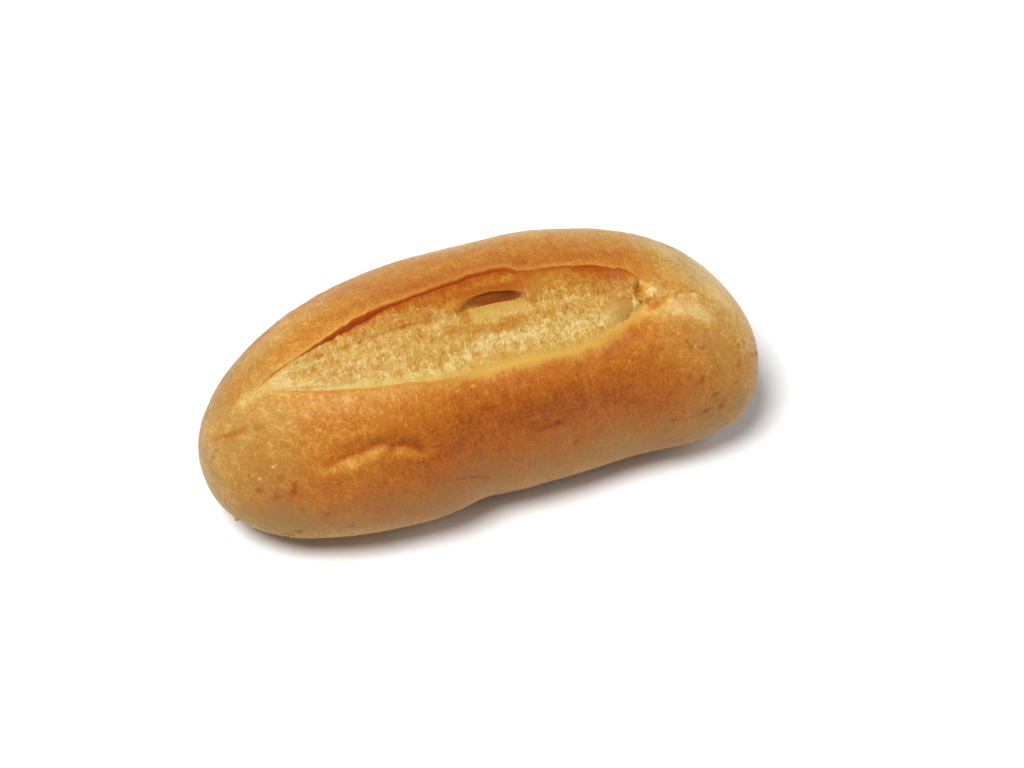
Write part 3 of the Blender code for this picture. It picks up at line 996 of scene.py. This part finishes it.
class Nodes:
    """Adds nodes to a tree in few words."""

    def __init__(self, tree):
        self.tree = tree

    def add(self, kind, settings=None, **links):
        """A new node; settings are its properties, and links its inputs, by name or place."""
        node = self.tree.nodes.new(kind)
        for name, value in (settings or {}).items():
            setattr(node, name, value)
        self.feed(node, **links)
        return node

    def feed(self, node, **links):
        """Links outputs to a node's inputs, or sets their values. The input _2 is the one at place 2."""
        for name, value in links.items():
            socket = node.inputs[int(name[1:]) if name[0] == "_" else name.replace("_", " ")]
            if isinstance(value, bpy.types.NodeSocket):
                self.tree.links.new(value, socket)
            else:
                socket.default_value = value

    def math(self, operation, *values, clamp=False):
        """The output of a sum of these values."""
        node = self.tree.nodes.new("ShaderNodeMath")
        node.operation = operation
        node.use_clamp = clamp
        self.feed(node, **{f"_{place}": value for place, value in enumerate(values)})
        return node.outputs[0]

    def read(self, name):
        """The values that a mesh stores under a name."""
        return self.add("ShaderNodeAttribute", {"attribute_name": name}).outputs["Fac"]


def new_material(name):
    """An empty material, its nodes and its shader."""
    material = bpy.data.materials.new(name)
    material.use_nodes = True
    material.node_tree.nodes.clear()
    nodes = Nodes(material.node_tree)
    shader = nodes.add("ShaderNodeBsdfPrincipled")
    out = nodes.add("ShaderNodeOutputMaterial")
    nodes.tree.links.new(shader.outputs["BSDF"], out.inputs["Surface"])
    return material, nodes, shader


def blend(nodes, share, first, second):
    """A colour between two, as share goes from 0 to 1."""
    return nodes.add("ShaderNodeMix", {"data_type": "RGBA"}, _0=share, _6=first, _7=second).outputs[2]


def tones(nodes, level, colours):
    """A ramp through these colours, evenly spaced from 0 to 1."""
    ramp = nodes.add("ShaderNodeValToRGB", Fac=level)
    band = ramp.color_ramp
    while len(band.elements) < len(colours):
        band.elements.new(0.5)
    for k, colour in enumerate(colours):
        band.elements[k].position = k / (len(colours) - 1)
        band.elements[k].color = colour
    return ramp.outputs["Color"]


def new_group(name, kind, inputs, outputs):
    """A node group; its inputs and outputs are rows of a name and a kind of socket."""
    tree = bpy.data.node_groups.new(name, kind)
    for way, sockets in (("INPUT", inputs), ("OUTPUT", outputs)):
        for label, socket in sockets:
            tree.interface.new_socket(label, in_out=way, socket_type="NodeSocket" + socket)
    nodes = Nodes(tree)
    return tree, nodes, nodes.add("NodeGroupInput").outputs


def scaled(nodes, vector, scale):
    node = nodes.add("ShaderNodeVectorMath", {"operation": "SCALE"}, _0=vector, Scale=scale)
    return node.outputs["Vector"]


def noise(nodes, output, **links):
    return nodes.add("ShaderNodeTexNoise", **links).outputs[output]


def oven_mottle():
    """Shared by every baked surface: uneven browning of three sizes added to a level, and its relief."""
    numbers = [(name, "Float") for name in ("Level", "Fineness", "Blotch", "Grain", "Blister")]
    results = [("Level", "Float"), ("Relief", "Float")]
    tree, nodes, given = new_group("oven_mottle", "ShaderNodeTree", [("Place", "Vector"), *numbers], results)
    place = scaled(nodes, given["Place"], given["Fineness"])
    blotch = noise(nodes, "Fac", Vector=place, Scale=260, Detail=2)
    grain = noise(nodes, "Fac", Vector=place, Scale=1150, Detail=3, Roughness=0.62)
    cells = nodes.add("ShaderNodeTexVoronoi", Vector=place, Scale=780).outputs["Distance"]
    smooth = {"interpolation_type": "SMOOTHSTEP"}
    blister = nodes.add(
        "ShaderNodeMapRange", smooth, Value=cells, From_Min=0.12, From_Max=0.4, To_Min=1, To_Max=0
    ).outputs["Result"]
    picked = nodes.math("MULTIPLY", blister, blotch)
    level = given["Level"]
    for value, middle, amount in ((blotch, 0.5, "Blotch"), (grain, 0.5, "Grain"), (picked, 0.1, "Blister")):
        centred = nodes.math("SUBTRACT", value, middle)
        level = nodes.math("MULTIPLY_ADD", centred, given[amount], level)
    relief = nodes.math("MULTIPLY_ADD", picked, 0.5, grain)
    nodes.add("NodeGroupOutput", Level=level, Relief=relief)
    return tree


def mottled(nodes, mottle, level, fineness, blotch, grain, blister):
    """The level and relief outputs of a placed mottle group."""
    place = nodes.add("ShaderNodeTexCoord").outputs["Object"]
    node = nodes.add(
        "ShaderNodeGroup", {"node_tree": mottle}, Place=place, Level=level, Fineness=fineness, Blotch=blotch,
        Grain=grain, Blister=blister,
    )
    return node.outputs["Level"], node.outputs["Relief"]


def bumped(nodes, relief, strength, distance):
    """The normal of a fine relief."""
    bump = nodes.add("ShaderNodeBump", Strength=strength, Distance=distance, Height=relief)
    return bump.outputs["Normal"]


# From pale to brown
CRUST_TONES = [
    tint(228, 194, 130),
    tint(209, 164, 88),
    tint(192, 132, 50),
    tint(177, 105, 30),
    tint(164, 86, 19),
    tint(138, 64, 13),
]
GOLD = tint(197, 154, 67)
DULL_AND_LOW_SHADE = tint(150, 115, 57)  # the drier crust on both ends, and low down on the flanks also painted shade
LIP_RED = tint(214, 90, 26)
DUST = tint(222, 196, 150)


def crust_material(mottle):
    material, nodes, shader = new_material("baked_crust")
    hollow = nodes.read("hollow")
    # hollow darkens the tone: painted shade in the wrinkle and the creases, darker pits and crater, and the
    # lumps' own browning or paleness
    level = nodes.math("MULTIPLY_ADD", hollow, 0.24, nodes.read("bake"))
    level, relief = mottled(nodes, mottle, level, 1.25, 0.26, 0.72, -0.12)
    colour = blend(nodes, nodes.read("dull_and_low_shade"), tones(nodes, level, CRUST_TONES), DULL_AND_LOW_SHADE)
    colour = blend(nodes, nodes.read("golden"), colour, GOLD)
    colour = blend(nodes, nodes.read("torn"), colour, LIP_RED)
    dust = nodes.math("MULTIPLY_ADD", nodes.read("dusty"), 0.85, -0.85)
    dust = nodes.math("ADD", dust, relief, clamp=True)
    nodes.feed(
        shader,
        Base_Color=blend(nodes, dust, colour, DUST),
        Roughness=0.5,
        Specular_IOR_Level=0.15,
        Sheen_Weight=nodes.math("MULTIPLY_ADD", hollow, -0.19, 0.19, clamp=True),
        Sheen_Roughness=0.4,
        Sheen_Tint=(1, 0.92, 0.76, 1),
        Normal=bumped(nodes, relief, 0.22, 0.00025),
    )
    return material


CRUMB_TONES = [
    tint(205, 181, 118),
    tint(187, 146, 71),
    tint(173, 119, 44),
    tint(164, 89, 23),
    tint(146, 68, 14),
]
BUBBLE_SKIN = tint(176, 138, 72)
# the dark brown of the painted shade inside the cave
CAVE_PAINTED_SHADE = tint(124, 60, 24)


def crumb_material(mottle):
    material, nodes, shader = new_material("torn_crumb")
    level, relief = mottled(nodes, mottle, nodes.read("toast"), 2, 0.22, 0.3, -0.16)
    colour = blend(nodes, nodes.read("golden"), tones(nodes, level, CRUMB_TONES), GOLD)
    colour = blend(nodes, nodes.read("bubble"), colour, BUBBLE_SKIN)
    # cave blends in the painted shade inside the cave, and takes its specular highlight away there
    cave = nodes.read("cave")
    nodes.feed(
        shader,
        Base_Color=blend(nodes, cave, colour, CAVE_PAINTED_SHADE),
        Roughness=0.4,
        Specular_IOR_Level=nodes.math("MULTIPLY_ADD", cave, -0.13, 0.13),
        Normal=bumped(nodes, relief, 0.3, 0.0002),
    )
    return material


def thread_material(mottle):
    """The gluten threads, a little paler than the crumb under them."""
    material, nodes, shader = new_material("gluten_threads")
    paler = nodes.math("MULTIPLY", nodes.read("toast"), 0.88)
    level, _ = mottled(nodes, mottle, paler, 3, 0.2, 0.2, 0)
    nodes.feed(shader, Base_Color=tones(nodes, level, CRUMB_TONES), Roughness=0.5, Specular_IOR_Level=0)
    return material


def bit_material(mottle, name, level, colours):
    """Loose flakes of crust or crumb, of about this level."""
    material, nodes, shader = new_material(name)
    level, _ = mottled(nodes, mottle, level, 1.5, 0.5, 0.5, 0)
    nodes.feed(shader, Base_Color=tones(nodes, level, colours), Roughness=0.6, Specular_IOR_Level=0.15)
    return material


# ------------------------ what grows on the surfaces


def new_tree(name, numbers):
    """A Geometry Nodes tree: it takes a surface, its weight attribute, a seed, a material and numbers."""
    inputs = [("Surface", "Geometry"), ("Weight", "String"), ("Seed", "Int"), ("Finish", "Material")]
    inputs += [(number, "Float") for number in numbers]
    return new_group(name, "GeometryNodeTree", inputs, [("Bits", "Geometry")])


def random_number(nodes, least, most, seed):
    node = nodes.add("FunctionNodeRandomValue", {"data_type": "FLOAT"}, _2=least, _3=most, _8=seed)
    return node.outputs[1]


def vector(nodes, **parts):
    return nodes.add("ShaderNodeCombineXYZ", **parts).outputs["Vector"]


def strew(nodes, given, bit, along, tilt, swing, scale, seed):
    """Sets copies of a bit on the surface, as thickly as its weight attribute says, and ends the tree.

    Each lies on the surface along a direction, tilted about its own X and swung about its own Z by up to
    these angles.
    """
    weight = nodes.add("GeometryNodeInputNamedAttribute", {"data_type": "FLOAT"}, Name=given["Weight"])
    density = nodes.math("MULTIPLY", weight.outputs["Attribute"], given["Density"])
    strewn = nodes.add(
        "GeometryNodeDistributePointsOnFaces", Mesh=given["Surface"], Density=density, Seed=given["Seed"]
    ).outputs
    axes = {"primary_axis": "Z", "secondary_axis": "Y"}
    level = nodes.add(
        "FunctionNodeAxesToRotation", axes, Primary_Axis=strewn["Normal"], Secondary_Axis=along
    ).outputs["Rotation"]
    tilted = random_number(nodes, -tilt, tilt, seed)
    swung = random_number(nodes, -swing, swing, seed + 1)
    more = nodes.add("FunctionNodeEulerToRotation", Euler=vector(nodes, X=tilted, Z=swung))
    own_axes = {"rotation_space": "LOCAL"}
    turned = nodes.add(
        "FunctionNodeRotateRotation", own_axes, Rotation=level, Rotate_By=more.outputs["Rotation"]
    ).outputs["Rotation"]
    copies = nodes.add(
        "GeometryNodeInstanceOnPoints", Points=strewn["Points"], Instance=bit, Rotation=turned, Scale=scale
    ).outputs["Instances"]
    real = nodes.add("GeometryNodeRealizeInstances", Geometry=copies).outputs["Geometry"]
    dressed = nodes.add("GeometryNodeSetMaterial", Geometry=real, Material=given["Finish"])
    nodes.add("NodeGroupOutput", Bits=dressed.outputs["Geometry"])


def strand_tree():
    """Threads of gluten, each an arched thin tube drawn out across the score."""
    tree, nodes, given = new_tree("gluten_strands", ["Density", "Length", "Thickness", "Arch"])
    half = nodes.math("MULTIPLY", given["Length"], 0.5)
    back = nodes.math("MULTIPLY", half, -1)
    arch = nodes.add(
        "GeometryNodeCurveQuadraticBezier",
        Resolution=5,
        Start=vector(nodes, Y=back, Z=-0.00008),
        Middle=vector(nodes, Z=given["Arch"]),
        End=vector(nodes, Y=half, Z=-0.00008),
    ).outputs["Curve"]
    ring = nodes.add("GeometryNodeCurvePrimitiveCircle", Resolution=4, Radius=given["Thickness"])
    profile = ring.outputs["Curve"]
    thread = nodes.add("GeometryNodeCurveToMesh", Curve=arch, Profile_Curve=profile, Fill_Caps=True)
    scale = random_number(nodes, 0.45, 1.4, 5)
    strew(nodes, given, thread.outputs["Mesh"], (0, 1, 0), 12 * DEGREE, 38 * DEGREE, scale, 3)
    return tree


def flake_tree():
    """Small ragged flakes, lying on the surface."""
    tree, nodes, given = new_tree("clinging_flakes", ["Density", "Smallest", "Largest", "Flatness"])
    ball = nodes.add("GeometryNodeMeshIcoSphere", Radius=1, Subdivisions=2).outputs["Mesh"]
    uneven = noise(nodes, "Color", Scale=1.6, Detail=1)
    centred = nodes.add("ShaderNodeVectorMath", {"operation": "SUBTRACT"}, _0=uneven, _1=(0.5, 0.5, 0.5))
    push = scaled(nodes, centred.outputs["Vector"], 2.6)
    ragged = nodes.add("GeometryNodeSetPosition", Geometry=ball, Offset=push).outputs["Geometry"]
    flat = vector(nodes, X=1, Y=0.7, Z=given["Flatness"])
    flake = nodes.add("GeometryNodeTransform", Geometry=ragged, Scale=flat).outputs["Geometry"]
    size = random_number(nodes, given["Smallest"], given["Largest"], 9)
    strew(nodes, given, flake, (1, 0, 0), 35 * DEGREE, 180 * DEGREE, size, 7)
    return tree


def grown(surface, tree, name, **settings):
    """A new piece: the plain mesh of what the tree makes on a surface."""
    modifier = surface.modifiers.new(name, "NODES")
    modifier.node_group = tree
    for socket in tree.interface.items_tree:
        if socket.in_out == "INPUT" and socket.name in settings:
            modifier[socket.identifier] = settings[socket.name]
    depsgraph = bpy.context.evaluated_depsgraph_get()
    mesh = bpy.data.meshes.new_from_object(surface.evaluated_get(depsgraph), depsgraph=depsgraph)
    surface.modifiers.remove(modifier)
    mesh.name = name
    mesh.shade_smooth()
    return placed(name, mesh)


# ------------------------ the setting

CAMERA_AZIMUTH = -18 * DEGREE
CAMERA_ELEVATION = 52 * DEGREE
CAMERA_LENS = 70
CAMERA_DISTANCE = 489 * MM
LOOK_AT = (np.array([8, 1, 20]) + TO_PART) * MM


def direction(azimuth, elevation):
    """From the roll towards a place; azimuth 0 is straight in front of it."""
    level = math.cos(elevation)
    return np.array([math.sin(azimuth) * level, -math.cos(azimuth) * level, math.sin(elevation)])


def face(thing, place, target):
    """Puts a camera or a light at a place, looking at the target."""
    thing.location = place
    thing.rotation_euler = Vector(target - place).to_track_quat("-Z", "Y").to_euler()


def camera():
    data = bpy.data.cameras.new("camera")
    data.lens = CAMERA_LENS
    data.sensor_width = 36
    thing = placed("camera", data)
    face(thing, LOOK_AT + CAMERA_DISTANCE * direction(CAMERA_AZIMUTH, CAMERA_ELEVATION), LOOK_AT)
    bpy.context.scene.camera = thing


def lamp(name, azimuth, elevation, distance, size, power):
    """A round area light that faces the roll."""
    data = bpy.data.lights.new(name, "AREA")
    data.shape = "DISK"
    data.size = size
    data.energy = power
    face(placed(name, data), distance * direction(azimuth, elevation), np.zeros(3))


def floor():
    """A wide pale floor, a hair under the roll."""
    mesh = bpy.data.meshes.new("floor")
    corners = [(-1.5, -1.5), (1.5, -1.5), (1.5, 1.5), (-1.5, 1.5)]
    mesh.from_pydata([(x, y, -0.0001) for x, y in corners], [], [(0, 1, 2, 3)])
    material, nodes, shader = new_material("pale_floor")
    nodes.feed(shader, Base_Color=(0.9, 0.9, 0.9, 1), Roughness=0.7)
    mesh.materials.append(material)
    placed("floor", mesh)


def setting():
    floor()
    lamp("window", 288 * DEGREE, 70 * DEGREE, 1.2, 0.58, 17)
    lamp("bounce", 80 * DEGREE, 35 * DEGREE, 0.8, 0.5, 1.7)
    world = bpy.data.worlds.new("world")
    world.use_nodes = True
    world.node_tree.nodes["Background"].inputs["Color"].default_value = (0.94, 0.98, 1.04, 1)
    world.node_tree.nodes["Background"].inputs["Strength"].default_value = 0.16
    scene = bpy.context.scene
    scene.world = world
    scene.view_settings.view_transform = "Standard"
    camera()


def main():
    mottle = oven_mottle()
    body = crust()
    body.data.materials.append(crust_material(mottle))
    pad = score_crumb()
    pad.data.materials.append(crumb_material(mottle))
    threads = thread_material(mottle)
    flakes = bit_material(mottle, "torn_flakes", 0.2, CRUMB_TONES)
    crumbs = bit_material(mottle, "clinging_crumbs", 0.2, CRUST_TONES)
    strands, bits = strand_tree(), flake_tree()
    pieces = [
        body,
        pad,
        grown(
            pad, strands, "gluten_threads", Weight="fibre", Density=0.8e6, Length=1.6 * MM,
            Thickness=0.05 * MM, Arch=0.22 * MM, Seed=5, Finish=threads,
        ),
        grown(
            body, bits, "torn_flakes", Weight="shreds", Density=0.4e6, Smallest=0.25 * MM,
            Largest=0.55 * MM, Flatness=0.3, Seed=8, Finish=flakes,
        ),
        grown(
            body, bits, "clinging_crumbs", Weight="clinging", Density=0.5e6, Smallest=0.25 * MM,
            Largest=0.6 * MM, Flatness=0.8, Seed=4, Finish=crumbs,
        ),
    ]
    for piece in pieces:
        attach(piece, BODY)
    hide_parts("bread_roll")
    setting()


main()
